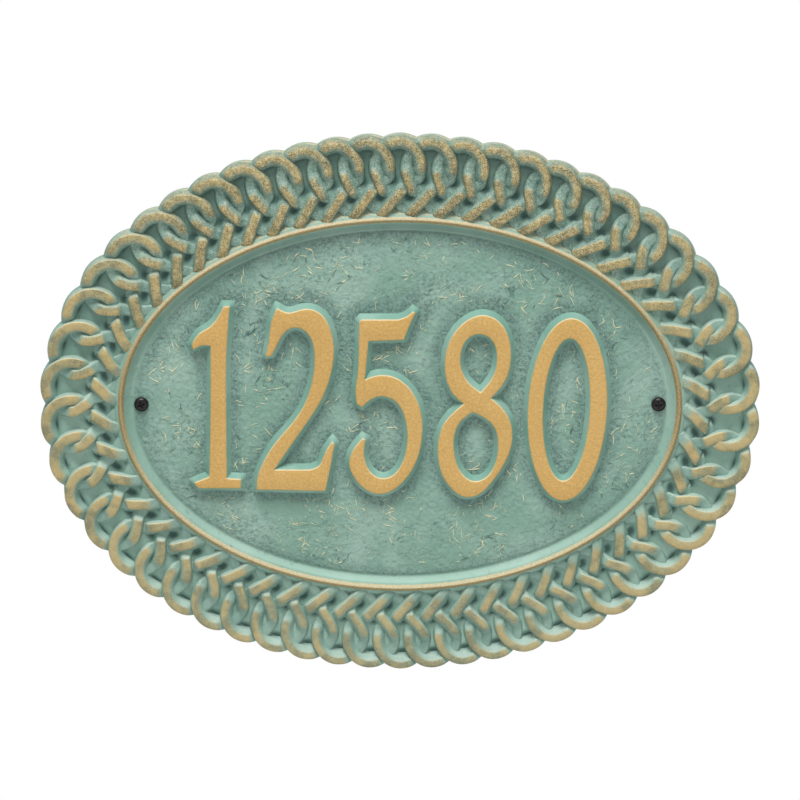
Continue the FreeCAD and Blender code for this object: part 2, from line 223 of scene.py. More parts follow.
# rings from the back edge over the scalloped side, in to the ledge, the bead and the cove
shares = np.arange(SAMPLES) / SAMPLES
turn, rim_point, rim_normal = on_rim(shares)
loop_phase = np.mod(shares * LOOPS, 1.0)
reach = between(turn, BORDER_SIDE, BORDER_TOP)
scallop = between(turn, SCALLOP_SIDE, SCALLOP_TOP)
edge = reach - scallop * (2 * np.abs(loop_phase - 0.5)) ** 2.0
at_end, at_top = np.cos(turn) ** 2, ease((np.sin(turn) + 0.3) / 1.2)
top_share, foot_share = np.clip(np.sin(turn), 0, 1) ** 2, np.clip(-np.sin(turn), 0, 1) ** 2
rings, gold, panel, pits = [], [], [], []
# hollows in the ground of each loop's cell, 15 mm wide: (millimetres clockwise of the valley, millimetres
# from the rim) at the plaque's top, at its foot and at its ends, then half width and half height
CELL, HOLLOW_LEAN = 15.0, 0.7
HOLLOWS = (((-2.7, 12.5), (-1.4, 10.8), (-1.0, 10.6), 2.5, 2.5),
           ((5.6, 6.0), (6.2, 4.6), (8.0, 6.0), 2.3, 1.8),
           ((4.4, 21.0), (5.8, 18.4), (7.4, 17.5), 2.5, 2.6),
           ((6.8, 38.8), (6.2, 36.9), (7.6, 36.6), 3.0, 1.7))


def body_ring(outward, height, is_gold=0.0, pit=0.0):
    spot = rim_point + rim_normal * outward
    rings.append(np.column_stack([spot[0], spot[1], np.broadcast_to(height, SAMPLES)]))
    gold.append(np.broadcast_to(is_gold, SAMPLES))
    panel.append(np.zeros(SAMPLES))
    pits.append(np.broadcast_to(pit, SAMPLES))


def hollow(outward):
    """How deep the ground lies, 0 to 1, at a distance from the rim."""
    deep = np.zeros(SAMPLES)
    for at_head, at_foot, at_side, wide, tall in HOLLOWS:
        across = at_head[0] * top_share + at_foot[0] * foot_share + at_side[0] * at_end
        out = at_head[1] * top_share + at_foot[1] * foot_share + at_side[1] * at_end
        away = np.mod((1 - loop_phase) * CELL - across + CELL / 2, CELL) - CELL / 2
        if tall == wide:
            away = away - (outward - out) * HOLLOW_LEAN * at_end
        deep = np.maximum(deep, np.exp(-(away / wide) ** 2 - ((outward - out) / tall) ** 2))
    return deep


for inset, height in ((0.0, 0.0), (0.0, 1.4), (0.0, 2.8), (0.12, 3.5), (0.4, 3.95), (0.9, GROUND)):
    body_ring(edge - inset, height, is_gold=0.62 * at_top * (height > 1))
# the ground is filled a little beside the ledge and, at the foot, beside the rim
LEDGE_FOOT, LEDGE_FILL, FOOT_FILL = 5.6, 1.7, 1.3
for share in np.linspace(0.96, 0.0, 31):
    outward = LEDGE_FOOT + (edge - LEDGE_FOOT) * share
    deep = hollow(outward)
    filled = LEDGE_FILL * ease((outward - 4.5) / 2.0) * (1 - ease((outward - 19.0) / 5.0))
    inside = ease((outward - 19.0) / 4.0)
    filled = filled + FOOT_FILL * foot_share * inside * (1 - ease((outward - 35.0) / 3.0))
    # patina with painted shade: the hollows are painted dark, and inside the hooks the ground is painted
    # darker at the top and painted light at the foot and a little at the ends
    dark = np.clip((1.4 + 0.2 * at_top) * deep, 0, 0.97)
    body_ring(outward, GROUND + filled * (1 - deep),
              pit=dark + (1 - dark) * (0.15 + inside * (0.75 * at_top - 0.33)))
for outward, height, is_gold in ((5.0, 4.6, 0), (4.3, 5.3, 0), (3.7, 6.15, 0), (3.2, 6.8, 0),
                                 (2.7, 7.2, 0), (2.2, 7.42, 0.1), (1.75, 7.65, 0.4),
                                 (1.4, 8.05, 0.85), (1.15, 8.5, 1), (0.85, 8.95, 1),
                                 (0.5, 9.27, 1), (0.15, 9.4, 1), (-0.2, 9.38, 1),
                                 (-0.5, 9.2, 1), (-0.75, 8.85, 1), (-1.0, 8.35, 1),
                                 (-1.3, 7.75, 1), (-1.65, 7.15, 0.6), (-2.05, 6.6, 0.1),
                                 (-2.8, 5.85, 0), (-3.6, 5.2, 0), (-4.4, 4.65, 0),
                                 (-5.2, 4.3, 0)):
    # painted shade in the cove at the plaque's top; painted light on the cove and the ledge at its foot
    in_cove, on_ledge = ease((-1.6 - outward) / 1.4), ease((outward - 2.0) / 0.5)
    body_ring(outward, height, np.maximum(is_gold, 0.58 * on_ledge * at_top),
              pit=in_cove * (0.36 * at_top - 0.36 * foot_share) - 0.22 * on_ledge * foot_share)
COVE_WIDTH = 5.9
PANEL_WIDTH, PANEL_HEIGHT = RIM_HALF_WIDTH - COVE_WIDTH, RIM_HALF_HEIGHT - COVE_WIDTH
for share in np.linspace(1.0, 0.03, 50):
    across = PANEL_WIDTH * share * np.cos(turn)
    up = PANEL_HEIGHT * share * np.sin(turn)
    wave = np.array([noise.noise(Vector((x * 0.09, y * 0.09, 3.0))) for x, y in zip(across, up)])
    rings.append(np.column_stack([across, up, GROUND - 0.05 + 0.16 * wave * min(1, (1 - share) * 9)]))
    gold.append(np.zeros(SAMPLES))
    panel.append(np.full(SAMPLES, 1.0 if share < 1 else 0.0))
    pits.append(np.zeros(SAMPLES))

points = np.concatenate(rings + [[(0, 0, GROUND)]])
faces = joined_rings(len(rings), SAMPLES)
last = (len(rings) - 1) * SAMPLES
faces += [(last + i, last + (i + 1) % SAMPLES, len(points) - 1) for i in range(SAMPLES)]
faces.append(list(range(SAMPLES))[::-1])
body = add_mesh("plaque_body", points, faces, bead_gold=np.concatenate(gold + [[0]]),
                panel_mask=np.concatenate(panel + [[1]]), pit=np.concatenate(pits + [[0]]))
body.data.polygons[len(faces) - 1].use_smooth = False

# the screw holes go through the panel
holes = bmesh.new()
for side in (-1, 1):
    made = bmesh.ops.create_cone(holes, cap_ends=True, segments=40, radius1=HOLE_RADIUS * MM,
                                 radius2=HOLE_RADIUS * MM, depth=30 * MM)
    bmesh.ops.rotate(holes, verts=made["verts"], cent=(0, 0, 0),
                     matrix=Matrix.Rotation(math.pi / 2, 3, "X"))
    bmesh.ops.translate(holes, verts=made["verts"], vec=(side * HOLE_X * MM, 0, 0))
cut_away(body, add_shape("hole_cutter", holes))
body.data.set_sharp_from_angle(angle=math.radians(50))

m = Nodes("verdigris_body")
TEAL, PALE_TEAL, DARK_TEAL = (0.200, 0.345, 0.275), (0.285, 0.430, 0.360), (0.060, 0.125, 0.105)
PATINA_AND_SHADE, PIT_PATINA_AND_SHADE, PAINTED_LIGHT_WASH = (0.13, 0.21, 0.195), (0.034, 0.085, 0.072), (0.50, 0.70, 0.60)
GOLD, PALE_GOLD = (0.275, 0.205, 0.085), (0.43, 0.34, 0.165)
CREAM_HIGHLIGHT_GOLD, GOLD_SPECK = (0.70, 0.63, 0.43), (0.10, 0.085, 0.04)
height = m.height()
blotch = m.noise(22, 4, 0.6, 0.4)
grain = m.noise(900, 2, 0.6)
stucco = m.noise(330, 4, 0.65, 0.6)
pebbles = m.cells(420)
is_panel = m.painted("panel_mask")
colour = m.mix(m.ramp(blotch, 0.35, 0.68), TEAL, PALE_TEAL)
colour = m.mix(m.times(m.ramp(stucco, 0.42, 0.28), 0.45), colour, DARK_TEAL)
worn_patch = m.ramp(m.noise(40, 3, 0.6), 0.48, 0.62)
dark_grain = m.times(m.ramp(m.noise(620, 3, 0.7), 0.50, 0.38), worn_patch)
colour = m.mix(m.times(m.times(dark_grain, is_panel), 0.55), colour, DARK_TEAL)
# grey-green patina and painted shade lie beside the numerals and under the rim, and a little more towards
# the plaque's top
patina_and_shade = m.math("ADD", m.painted("patina_and_shade"), m.times(m.centred(m.noise(130, 4, 0.7)), 0.9))
patina_and_shade = m.times(m.ramp(patina_and_shade, 0.25, 1.0), is_panel)
colour = m.mix(m.times(patina_and_shade, 0.45), colour, PATINA_AND_SHADE)
patina_and_shade_grain = m.ramp(m.noise(800, 3, 0.7), 0.53, 0.42)
colour = m.mix(m.times(m.times(patina_and_shade, patina_and_shade_grain), 0.6), colour, DARK_TEAL)
# the hollows between the loops and the cove at the top are painted dark, with patina and painted shade;
# the cove's upward side and the ledge at the foot, and the ground inside the hooks there, are painted
# light
colour = m.mix(m.painted("pit"), colour, PIT_PATINA_AND_SHADE)
colour = m.mix(m.times(m.painted("pit"), -1.0), colour, PAINTED_LIGHT_WASH)
bead = m.painted("bead_gold")
rub = m.ramp(m.math("ADD", bead, m.times(m.centred(grain), 0.9)), 0.42, 0.75)
bead_colour = m.mix(m.ramp(m.noise(1500, 3, 0.7), 0.40, 0.62), GOLD, PALE_GOLD)
# painted highlight: the bead's upward-facing side is painted cream
bead_colour = m.mix(m.times(m.ramp(m.facing_up(), -0.1, 0.75), 0.6), bead_colour, CREAM_HIGHLIGHT_GOLD)
bead_colour = m.mix(m.times(m.ramp(m.noise(1900, 3, 0.75), 0.47, 0.38), 0.6), bead_colour, GOLD_SPECK)
colour = m.mix(rub, colour, bead_colour)
m.put(m.shader.inputs["Base Color"], colour)
m.put(m.shader.inputs["Roughness"], m.ramp(grain, 0.3, 0.7, 0.5, 0.68))
m.shader.inputs["Metallic"].default_value = 0.0
m.shader.inputs["Specular IOR Level"].default_value = 0.35
relief = m.math("ADD", m.times(stucco, 1.15), m.times(pebbles, 0.55))
relief = m.times(relief, m.ramp(is_panel, 0.0, 1.0, 0.18, 1.0))
m.put(m.shader.inputs["Normal"], m.bump(relief, 0.0011, 0.9, m.bump(grain, 0.00012, 0.5)))
body.data.materials.append(m.material)
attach(body, "root")
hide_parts("plaque")

# Interlaced border: 54 cast loops of rounded strap. Each comes up from the rim as a straight bar,
# dips under the loop beside it, hooks round its scallop, dips under the hook before it and returns
# as a strand that slips under its own bar. Verdigris in the hollows, gold rubbed on the crowns.
RADIUS, STRAP_WIDTH, MARGIN = 13.4, 6.4, 0.8
TAIL_SLOPE, BAR_SHIFT = math.radians(50.0), 4.4
RING_START = math.radians(-20.0)
LOW = 6.5
# (millimetres towards the loop's inside, share of the height) across a hook and a bar, at the
# plaque's top and at its ends, where the straps are broader: all are steepest on the outer side
HOOK_AT_TOP = ((-3.9, 0.0), (-3.6, 0.26), (-3.3, 0.52), (-2.95, 0.76), (-2.55, 0.91), (-2.1, 0.975),
               (-1.3, 1.0), (-0.3, 1.0), (0.7, 0.975), (1.4, 0.90), (2.1, 0.75), (2.9, 0.52),
               (3.7, 0.30), (4.5, 0.12), (5.3, 0.0))
HOOK_AT_END = ((-3.9, 0.0), (-3.65, 0.30), (-3.4, 0.58), (-3.15, 0.80), (-2.85, 0.93), (-2.4, 0.98),
               (-1.3, 1.0), (0.0, 1.0), (1.3, 0.985), (2.1, 0.93), (2.6, 0.82), (3.1, 0.60),
               (3.6, 0.34), (4.2, 0.12), (4.8, 0.0))
BAR_AT_TOP = ((-5.0, 0.0), (-4.2, 0.12), (-3.5, 0.34), (-2.95, 0.68), (-2.5, 0.91), (-2.0, 0.98),
              (-1.0, 1.0), (0.2, 1.0), (1.0, 0.985), (1.6, 0.92), (2.2, 0.78), (2.9, 0.54),
              (3.7, 0.31), (4.6, 0.13), (5.6, 0.0))
BAR_AT_END = ((-5.2, 0.0), (-4.4, 0.12), (-3.7, 0.34), (-3.3, 0.68), (-2.95, 0.92), (-2.5, 0.985),
              (-1.3, 1.0), (0.4, 1.0), (1.7, 0.985), (2.3, 0.92), (2.7, 0.78), (3.2, 0.54),
              (3.8, 0.31), (4.6, 0.13), (5.6, 0.0))

strap_points, strap_faces, strap_gold, strap_wear, strap_shade = [], [], [], [], []
centres, headings = [], []
for index in range(LOOPS):
    turn_here, point, normal = on_rim((index + 0.5) / LOOPS)
    border_width = between(turn_here, BORDER_SIDE, BORDER_TOP)
    centres.append(point + normal * (border_width - MARGIN - STRAP_WIDTH / 2 - RADIUS))
    headings.append(math.atan2(normal[1], normal[0]) - math.pi / 2)


def add_strap(path, top, outward, hooked, rubbed, exposed, index, at_end, at_top, wear):
    """One strap: bar and hook profiles, blended by hooked, swept along path with the crown at
    the heights in top and moved outward."""
    heading, centre = headings[index], centres[index]
    hook = np.array(HOOK_AT_TOP) * (1 - at_end) + np.array(HOOK_AT_END) * at_end
    bar = np.array(BAR_AT_TOP) * (1 - at_end) + np.array(BAR_AT_END) * at_end
    base = GROUND - 0.5
    way = np.gradient(path, axis=0)
    across = np.column_stack([-way[:, 1], way[:, 0]]) / np.hypot(way[:, 0], way[:, 1])[:, None]
    first = sum(len(block) for block in strap_points)
    block, paint, shade = [], [], []
    for (hook_offset, hook_share), (bar_offset, bar_share) in zip(hook, bar):
        share = bar_share + (hook_share - bar_share) * hooked
        offset = bar_offset + (hook_offset - bar_offset) * hooked - outward * share
        spot = path + across * offset[:, None]
        x = centre[0] + spot[:, 0] * math.cos(heading) - spot[:, 1] * math.sin(heading)
        y = centre[1] + spot[:, 0] * math.sin(heading) + spot[:, 1] * math.cos(heading)
        block.append(np.column_stack([x, y, base + (top - base) * share]))
        outer_side = 0.56 * at_top * hooked * ease((share - 0.1) / 0.2) if hook_offset < -1 else 0.0
        inner_side = (0.14 + 0.28 * at_top) * ease((offset + 1.0) / 2.4) * hooked
        crown = ease((share - 0.66) / 0.34) * (1 - inner_side)
        paint.append(rubbed * np.maximum(crown, outer_side))
        # painted shade at the strap's foot is left off the outer side of the hook's round, towards the
        # plaque's edge
        shade.append(1 - exposed if hook_offset < -1 else np.ones(len(path)))
    strap_points.append(np.stack(block, axis=1).reshape(-1, 3))
    strap_gold.append(np.stack(paint, axis=1).reshape(-1))
    strap_wear.append(np.full(len(strap_gold[-1]), wear))
    strap_shade.append(np.stack(shade, axis=1).reshape(-1))
    wide = len(bar)
    quads = joined_rings(len(path), wide, closed=False)
    strap_faces.extend([[i + first for i in quad[::-1]] for quad in quads])
    strap_faces.append([first + i for i in range(wide)])
    strap_faces.append([first + (len(path) - 1) * wide + i for i in range(wide)][::-1])
    under = [first + row * wide for row in range(len(path))]
    for here, there in zip(under, under[1:]):
        strap_faces.append([here, there, there + wide - 1, here + wide - 1])


def turned_line(start, way_in, end, way_out, count, pull=9.0):
    """Inner points of a smooth line between two straight ones."""
    share = np.linspace(0, 1, count + 2)[1:-1, None]
    return (start * (1 - share) ** 2 * (1 + 2 * share) + end * share ** 2 * (3 - 2 * share)
            + (way_in * (1 - share) - way_out * share) * pull * share * (1 - share))


# one loop's centre line, from the rim: bar, turn into the ring, ring, strand, turn, tail to the rim
up_bar = np.array([math.cos(TAIL_SLOPE), math.sin(TAIL_SLOPE)])
down_tail = np.array([math.cos(TAIL_SLOPE), -math.sin(TAIL_SLOPE)])
beside_bar = np.array([-math.sin(TAIL_SLOPE), math.cos(TAIL_SLOPE)])
bar_end = beside_bar * (BAR_SHIFT - RADIUS) - up_bar * RADIUS / 2
ring_way = np.array([-math.sin(RING_START), math.cos(RING_START)])
TAIL_TURN = 9.5
tail_root = RADIUS * np.array([-math.sin(TAIL_SLOPE), -math.cos(TAIL_SLOPE)])
own_bar = RADIUS * math.tan(TAIL_SLOPE) - BAR_SHIFT / math.sin(2 * TAIL_SLOPE)
last_tail = own_bar + lengths[-1] / LOOPS / 2 / math.cos(TAIL_SLOPE) + 1.5
tail = tail_root + down_tail * np.linspace(TAIL_TURN, last_tail, 11)[:, None]

for index in range(LOOPS):
    apart = (np.hypot(*(centres[index] - centres[index - 1]))
             + np.hypot(*(centres[index] - centres[(index + 1) % LOOPS]))) / 2
    half_angle = math.acos(min(1.0, apart / 2 / RADIUS))
    turn_here = on_rim((index + 0.5) / LOOPS)[0]
    at_end, at_top = math.cos(turn_here) ** 2, ease((math.sin(turn_here) + 0.3) / 1.2)
    rim_to_centre = between(turn_here, BORDER_SIDE, BORDER_TOP) - MARGIN - STRAP_WIDTH / 2 - RADIUS
    bar_length = (rim_to_centre + bar_end[1] - 1.6) / math.sin(TAIL_SLOPE)
    bar = bar_end + up_bar * np.linspace(-bar_length, 0.0, 14)[:, None]
    # the strand leaves the ring sooner, and steeper, at the plaque's top than elsewhere
    leaning = max(at_end, 1 - at_top)
    ring_end = math.radians(201.0 + 20.0 * leaning)
    strand_length = 7.8 - 4.4 * at_end - 0.8 * (leaning - at_end)
    ring_reach = RADIUS * (ring_end - RING_START)
    ring_angles = np.linspace(RING_START, ring_end, 48)
    ring = RADIUS * np.column_stack([np.cos(ring_angles), np.sin(ring_angles)])
    strand_way = np.array([-math.sin(ring_end), math.cos(ring_end)])
    strand = ring[-1] + strand_way * np.linspace(1.2, strand_length, 5)[:, None]
    turn_in = turned_line(bar_end, up_bar, ring[0], ring_way, 9)
    turn_out = turned_line(strand[-1], strand_way, tail[0], down_tail, 5, 5.0)
    path = np.concatenate([bar, turn_in, ring, strand, turn_out, tail])
    # loops are narrower than round, most of all at the plaque's top, and bars are set over at its
    # ends, where strands and tails are too
    narrower = (1 - at_end) * (1.9 + 0.5 * math.sin(turn_here))
    narrower += 1.2 * max(math.cos(turn_here), 0.0) ** 2
    path[:, 0] -= narrower * ease((path[:, 0] + 4.0) / 17.4) * ease((path[:, 1] + 9.0) / 6.0)
    path[:len(bar), 0] += 1.4 * at_end
    shift = leaning * (2.4 * ease((1.0 - path[:, 1]) / 11.0) - 0.4)
    shift[:len(bar)] *= at_end
    path[:, 0] += shift * ease((-3.0 - path[:, 0]) / 5.0)
    walk = np.concatenate([[0.0], np.cumsum(np.hypot(*np.diff(path, axis=0).T))])
    from_rim = walk.copy()
    walk -= walk[len(bar) + len(turn_in)]
    bar_stop = walk[len(bar) - 1]
    angle = RING_START + np.clip(walk, 0, ring_reach) / RADIUS
    # where the strap lies low: under the next loop's strand, under the hook before it at the upper
    # left, and at the end under its own bar
    hook_meets = RADIUS * (math.pi - half_angle - RING_START)
    sunk = np.maximum.reduce([
        ease((walk - bar_stop + 1.2 + 1.6 * at_top) / 3.5) * (1 - ease((walk + 2.0 + 2.5 * at_end) / 6.0)),
        ease((walk - hook_meets + 6.0) / 4.5) * (1 - ease((angle - 2.88) / 0.42)),
        ease((walk - ring_reach - strand_length + 2.0) / 4.4)])
    top = (CREST - 0.02) - (CREST - LOW) * sunk
    top = np.minimum(top, 7.4 + (top - 7.4) * ease((from_rim - 0.5) / (7.5 - 3.0 * at_top)))
    hooked = ease((walk - bar_stop) / 6.0) * (1 - 0.5 * ease((walk - ring_reach) / 6.0))
    outward = (0.7 - 1.3 * at_top) * np.clip(np.sin(angle), 0, 1)
    outward *= ease((walk - bar_stop) / 8.0) * (1 - ease((walk - ring_reach) / 6.0))
    rubbed = np.clip(1 - sunk * 1.1, 0, 1) ** 1.3 * min(1.0, 0.96 + 0.20 * math.sin(turn_here))
    rubbed = rubbed * (1 - 0.75 * (1 - at_top) * (1 - ease((from_rim - 2.0) / 8.0)))
    exposed = hooked * ease((np.sin(angle) - 0.1) / 0.4)
    wear = ease((math.sin(turn_here) - 0.1) / 0.9)
    add_strap(path, top, outward, hooked, rubbed, exposed, index, at_end, at_top, wear)

border = add_mesh("border_loops", np.concatenate(strap_points), strap_faces,
                  crown_gold=np.concatenate(strap_gold), wear=np.concatenate(strap_wear),
                  shade=np.concatenate(strap_shade))

m = Nodes("rubbed_straps")
STRAP_TEAL, PALE_STRAP, DARK_STRAP = (0.155, 0.280, 0.228), (0.235, 0.370, 0.300), (0.080, 0.140, 0.115)
FOOT_PALE_STRAP, HIGHLIGHT_STRAP = (0.42, 0.58, 0.52), (0.62, 0.74, 0.66)
LIGHT_SPECK, DARK_SPECK, STRAP_FOOT_SHADE = (0.52, 0.60, 0.49), (0.04, 0.085, 0.070), (0.034, 0.082, 0.070)
BROWN_GOLD, BRIGHT_GOLD, ORANGE_GOLD = (0.190, 0.142, 0.050), (0.440, 0.325, 0.112), (0.525, 0.360, 0.122)
UPPER_HIGHLIGHT_GOLD, LIGHT_GOLD, DARK_GOLD = (0.74, 0.66, 0.42), (0.74, 0.65, 0.39), (0.060, 0.065, 0.035)
height = m.height()
blotch = m.noise(26, 4, 0.6, 0.4)
grain = m.noise(1500, 3, 0.7)
speck = m.math("MULTIPLY_ADD", m.centred(m.noise(420, 3, 0.7)), 0.35, m.noise(1900, 3, 0.8))
coarse = m.noise(320, 3, 0.6)
# speckle is strong at the plaque's top and faint at its foot
wear = m.painted("wear")
speckle = m.math("MULTIPLY_ADD", wear, 0.75, 0.25)
patch = m.ramp(m.noise(150, 3, 0.6), 0.38, 0.62)
light_speck = m.times(m.ramp(speck, 0.525, 0.61), speckle)
dark_speck = m.times(m.ramp(speck, 0.475, 0.39), speckle)
colour = m.mix(m.ramp(blotch, 0.35, 0.68), STRAP_TEAL, PALE_STRAP)
# the straps' green is darker towards the plaque's top and paler towards its foot
colour = m.mix(m.times(wear, 0.30), colour, DARK_STRAP)
colour = m.mix(m.math("MULTIPLY_ADD", wear, -0.14, 0.14), colour, FOOT_PALE_STRAP)
# painted highlight: upward-facing strap surfaces are painted pale, most at the plaque's foot
upward = m.times(m.ramp(m.facing_up(), 0.30, 0.80), m.math("MULTIPLY_ADD", wear, -0.2, 0.3))
colour = m.mix(upward, colour, HIGHLIGHT_STRAP)
colour = m.mix(m.times(light_speck, 0.55), colour, LIGHT_SPECK)
colour = m.mix(m.times(dark_speck, 0.65), colour, DARK_SPECK)
# painted shade: the low foot of each strap is painted dark, most at the plaque's top
shaded = m.times(m.painted("shade"), m.math("MULTIPLY_ADD", wear, 0.5, 0.3))
colour = m.mix(m.times(m.ramp(height, 5.8, 4.3), shaded), colour, STRAP_FOOT_SHADE)
crown = m.painted("crown_gold")
wobble = m.math("ADD", m.times(m.centred(grain), 1.6), m.times(m.centred(coarse), 1.1))
wobble = m.times(wobble, m.math("MULTIPLY_ADD", wear, 0.6, 0.4))
rub = m.ramp(m.math("ADD", crown, wobble), 0.20, 0.92)
rub = m.times(rub, m.ramp(crown, 0.04, 0.25))
rub = m.times(rub, m.math("MULTIPLY_ADD", wear, 0.10, 0.78))
gold_colour = m.mix(m.ramp(m.math("MULTIPLY_ADD", patch, 0.16, grain), 0.46, 0.74),
                    BROWN_GOLD, BRIGHT_GOLD)
orange = m.times(m.ramp(m.noise(70, 2, 0.6), 0.42, 0.58), m.math("MULTIPLY_ADD", wear, -0.5, 0.9))
gold_colour = m.mix(orange, gold_colour, ORANGE_GOLD)
# painted highlight: upward-facing gold is painted cream, most at the plaque's foot
upper = m.times(m.ramp(m.facing_up(), 0.30, 0.75), m.math("MULTIPLY_ADD", wear, -0.67, 0.75))
gold_colour = m.mix(upper, gold_colour, UPPER_HIGHLIGHT_GOLD)
gold_colour = m.mix(m.times(light_speck, 0.7), gold_colour, LIGHT_GOLD)
gold_colour = m.mix(m.times(dark_speck, 0.95), gold_colour, DARK_GOLD)
colour = m.mix(rub, colour, gold_colour)
m.put(m.shader.inputs["Base Color"], colour)
m.put(m.shader.inputs["Roughness"], m.ramp(grain, 0.3, 0.7, 0.46, 0.62))
m.shader.inputs["Specular IOR Level"].default_value = 0.4
m.put(m.shader.inputs["Normal"], m.bump(coarse, 0.0003, 0.6, m.bump(grain, 0.0002, 0.7)))
border.data.materials.append(m.material)
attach(border, "root")
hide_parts("plaque")

# Number: five old-style numerals 101.6 mm high, cast with the plate, with drafted walls, a small
# round at the foot and a worn top edge. Faces are gold with a sandy skin and a painted highlight on
# their upward-facing edges, and the walls are painted.
DIGIT_HEIGHT, DIGIT_RISE, DIGIT_GAP, ROW_HEIGHT = 101.6, 5.0, 8.6, 1.2
ROW_DROP = math.tan(math.radians(2.1))
ONE = [
    [(17.4, 101.2), (20.2, 101.2)],
    [(20.2, 101.2), (18.3, 77.0), (17.8, 50.0), (17.8, 5.2)],
    [(17.8, 5.2), (25.6, 4.8)],
    [(25.6, 4.8), (25.4, 0.0)],
    [(25.4, 0.0), (2.5, 0.0)],
    [(2.5, 0.0), (0.4, 2.8)],
    [(0.4, 2.8), (8.8, 6.2)],
    [(8.8, 6.2), (9.8, 46.0), (10.1, 79.6)],
    [(10.1, 79.6), (5.0, 79.8), (0.4, 77.4)],
    [(0.4, 77.4), (0.0, 80.4)],
    [(0.0, 80.4), (4.2, 86.4), (9.0, 89.4), (13.4, 94.0), (17.4, 101.2)],
]
TWO = [
    [(12.0, 101.6), (18.3, 99.2), (24.0, 100.6), (29.5, 101.2), (35.6, 98.4), (40.2, 91.0),
     (42.4, 79.0), (40.5, 64.4), (35.4, 50.8), (26.2, 36.2), (9.4, 11.6)],
    [(9.4, 11.6), (29.0, 11.6)],
    [(29.0, 11.6), (34.4, 13.8), (37.6, 20.6), (41.7, 27.2)],
    [(41.7, 27.2), (42.6, 25.9)],
    [(42.6, 25.9), (40.0, 11.5), (37.5, 0.0)],
    [(37.5, 0.0), (0.5, 0.8)],
    [(0.5, 0.8), (0.8, 6.5), (3.8, 15.0), (9.5, 25.0), (18.7, 36.2), (27.1, 49.0), (31.2, 61.9),
     (32.5, 74.0), (31.3, 82.8), (27.6, 89.0), (21.0, 91.4), (15.2, 88.0), (11.2, 80.8),
     (8.6, 75.8)],
    [(8.6, 75.8), (5.8, 75.0)],
    [(5.8, 75.0), (7.8, 85.0), (9.2, 95.0), (12.0, 101.6)],
]
FIVE = [
    [(6.8, 97.2), (26.4, 97.2)],
    [(26.4, 97.2), (31.0, 98.8), (34.6, 101.6)],
    [(34.6, 101.6), (35.6, 100.8)],
    [(35.6, 100.8), (32.4, 94.0), (29.5, 86.4)],
    [(29.5, 86.4), (10.2, 85.6)],
    [(10.2, 85.6), (8.0, 63.6)],
    [(8.0, 63.6), (13.5, 65.8), (19.5, 66.3), (27.9, 63.2), (34.5, 56.0), (38.7, 45.5),
     (39.4, 34.5), (37.7, 23.0), (33.7, 13.3), (27.9, 5.8), (21.5, 1.3), (15.2, 0.2), (8.7, 2.8),
     (2.6, 9.5), (0.1, 16.5), (1.6, 23.6), (7.2, 31.0)],
    [(7.2, 31.0), (8.4, 30.3)],
    [(8.4, 30.3), (7.6, 24.0), (8.6, 17.2), (11.9, 11.4), (17.2, 8.6), (22.9, 9.8), (27.9, 15.2),
     (31.0, 24.0), (31.7, 35.2), (29.7, 45.0), (25.6, 51.6), (20.4, 54.6), (15.4, 54.8),
     (10.8, 52.6), (6.8, 49.0)],
    [(6.8, 49.0), (4.4, 50.3)],
    [(4.4, 50.3), (3.6, 56.0), (4.6, 66.0), (5.4, 83.0), (5.8, 96.2)],
    [(5.8, 96.2), (6.8, 97.2)],
]
EIGHT = [
    [(14.6, 52.4), (8.8, 57.8), (5.2, 65.4), (4.2, 75.0), (7.4, 88.4), (15.6, 98.2), (24.6, 101.4),
     (33.0, 98.0), (38.2, 89.4), (39.6, 79.6), (38.2, 69.4), (34.2, 61.6), (28.6, 55.4)],
    [(28.6, 55.4), (34.0, 50.8), (38.6, 44.2), (40.6, 35.2), (39.2, 25.6), (34.8, 16.2),
     (27.8, 6.4), (21.2, 1.0), (14.4, 0.4), (7.8, 5.0), (2.8, 12.8), (0.6, 22.8), (0.9, 32.2),
     (3.8, 41.2), (9.0, 47.4), (14.6, 52.4)],
]
EIGHT_UPPER = [
    [(23.5, 58.4), (17.2, 63.4), (13.2, 70.0), (12.1, 78.4), (15.0, 87.2), (20.4, 91.1),
     (26.4, 90.4), (31.0, 85.6), (32.5, 78.0), (30.2, 67.2), (23.5, 58.4)],
]
EIGHT_LOWER = [
    [(19.2, 48.0), (12.2, 42.2), (8.9, 34.0), (9.1, 23.6), (13.2, 13.0), (20.0, 8.7), (26.6, 10.8),
     (31.8, 19.0), (33.4, 30.0), (30.9, 39.6), (25.2, 45.0), (19.2, 48.0)],
]


def leaning_oval(centre_x, centre_y, half_x, half_y, lean):
    angle = np.linspace(0, 2 * math.pi, 25)
    x, y, turned = half_x * np.cos(angle), half_y * np.sin(angle), math.radians(lean)
    return [[(centre_x + a * math.cos(turned) - b * math.sin(turned),
              centre_y + a * math.sin(turned) + b * math.cos(turned)) for a, b in zip(x, y)]]


NUMBER = [("one", 25.6, [ONE]), ("two", 42.5, [TWO]), ("five", 39.4, [FIVE]),
          ("eight", 40.6, [EIGHT, EIGHT_UPPER, EIGHT_LOWER]),
          ("zero", 43.1, [leaning_oval(21.6, 50.8, 21.3, 50.8, -2.5),
                          leaning_oval(21.1, 50.8, 13.0, 40.0, -2.5)])]


